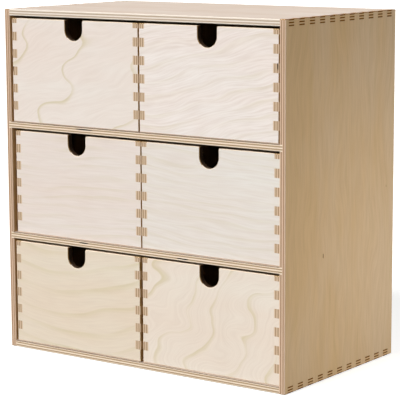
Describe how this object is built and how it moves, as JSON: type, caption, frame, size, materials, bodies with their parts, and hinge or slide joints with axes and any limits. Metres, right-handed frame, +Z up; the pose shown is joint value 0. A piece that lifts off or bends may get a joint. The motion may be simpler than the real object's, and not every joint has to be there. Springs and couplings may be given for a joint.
{
  "type": "desktop drawer chest",
  "caption": "Desktop chest of small finger-jointed plywood drawers with round-bottomed finger notches, open-fronted bays and a thin inset back.",
  "frame": {"origin": "middle of the underside of the case", "axes": "+Z up, +X to the right seen from the front, +Y to the back; the drawers open towards -Y"},
  "size_m": [0.31, 0.18, 0.318],
  "materials": {
    "case_board": "clear satin lacquer",
    "drawer_board": "clear satin lacquer",
    "thin_board": "clear satin lacquer"
  },
  "bodies": {
    "case": {"case_left_side": "case_board", "case_right_side": "case_board", "case_top": "case_board", "case_bottom": "case_board", "lower_shelf": "case_board", "upper_shelf": "case_board", "case_back": "thin_board"},
    "lower_left_drawer": {"lower_left_drawer_front": "drawer_board", "lower_left_drawer_back": "drawer_board", "lower_left_drawer_left_side": "drawer_board", "lower_left_drawer_right_side": "drawer_board", "lower_left_drawer_base": "thin_board"},
    "lower_right_drawer": {"lower_right_drawer_front": "drawer_board", "lower_right_drawer_back": "drawer_board", "lower_right_drawer_left_side": "drawer_board", "lower_right_drawer_right_side": "drawer_board", "lower_right_drawer_base": "thin_board"},
    "middle_left_drawer": {"middle_left_drawer_front": "drawer_board", "middle_left_drawer_back": "drawer_board", "middle_left_drawer_left_side": "drawer_board", "middle_left_drawer_right_side": "drawer_board", "middle_left_drawer_base": "thin_board"},
    "middle_right_drawer": {"middle_right_drawer_front": "drawer_board", "middle_right_drawer_back": "drawer_board", "middle_right_drawer_left_side": "drawer_board", "middle_right_drawer_right_side": "drawer_board", "middle_right_drawer_base": "thin_board"},
    "upper_left_drawer": {"upper_left_drawer_front": "drawer_board", "upper_left_drawer_back": "drawer_board", "upper_left_drawer_left_side": "drawer_board", "upper_left_drawer_right_side": "drawer_board", "upper_left_drawer_base": "thin_board"},
    "upper_right_drawer": {"upper_right_drawer_front": "drawer_board", "upper_right_drawer_back": "drawer_board", "upper_right_drawer_left_side": "drawer_board", "upper_right_drawer_right_side": "drawer_board", "upper_right_drawer_base": "thin_board"}
  },
  "joints": [
    {"name": "lower_left_drawer_slide", "type": "slide", "parent": "case", "child": "lower_left_drawer", "axis": [0, -1, 0], "range_m": [0, 0.125]},
    {"name": "lower_right_drawer_slide", "type": "slide", "parent": "case", "child": "lower_right_drawer", "axis": [0, -1, 0], "range_m": [0, 0.125]},
    {"name": "middle_left_drawer_slide", "type": "slide", "parent": "case", "child": "middle_left_drawer", "axis": [0, -1, 0], "range_m": [0, 0.125]},
    {"name": "middle_right_drawer_slide", "type": "slide", "parent": "case", "child": "middle_right_drawer", "axis": [0, -1, 0], "range_m": [0, 0.125]},
    {"name": "upper_left_drawer_slide", "type": "slide", "parent": "case", "child": "upper_left_drawer", "axis": [0, -1, 0], "range_m": [0, 0.125]},
    {"name": "upper_right_drawer_slide", "type": "slide", "parent": "case", "child": "upper_right_drawer", "axis": [0, -1, 0], "range_m": [0, 0.125]}
  ]
}
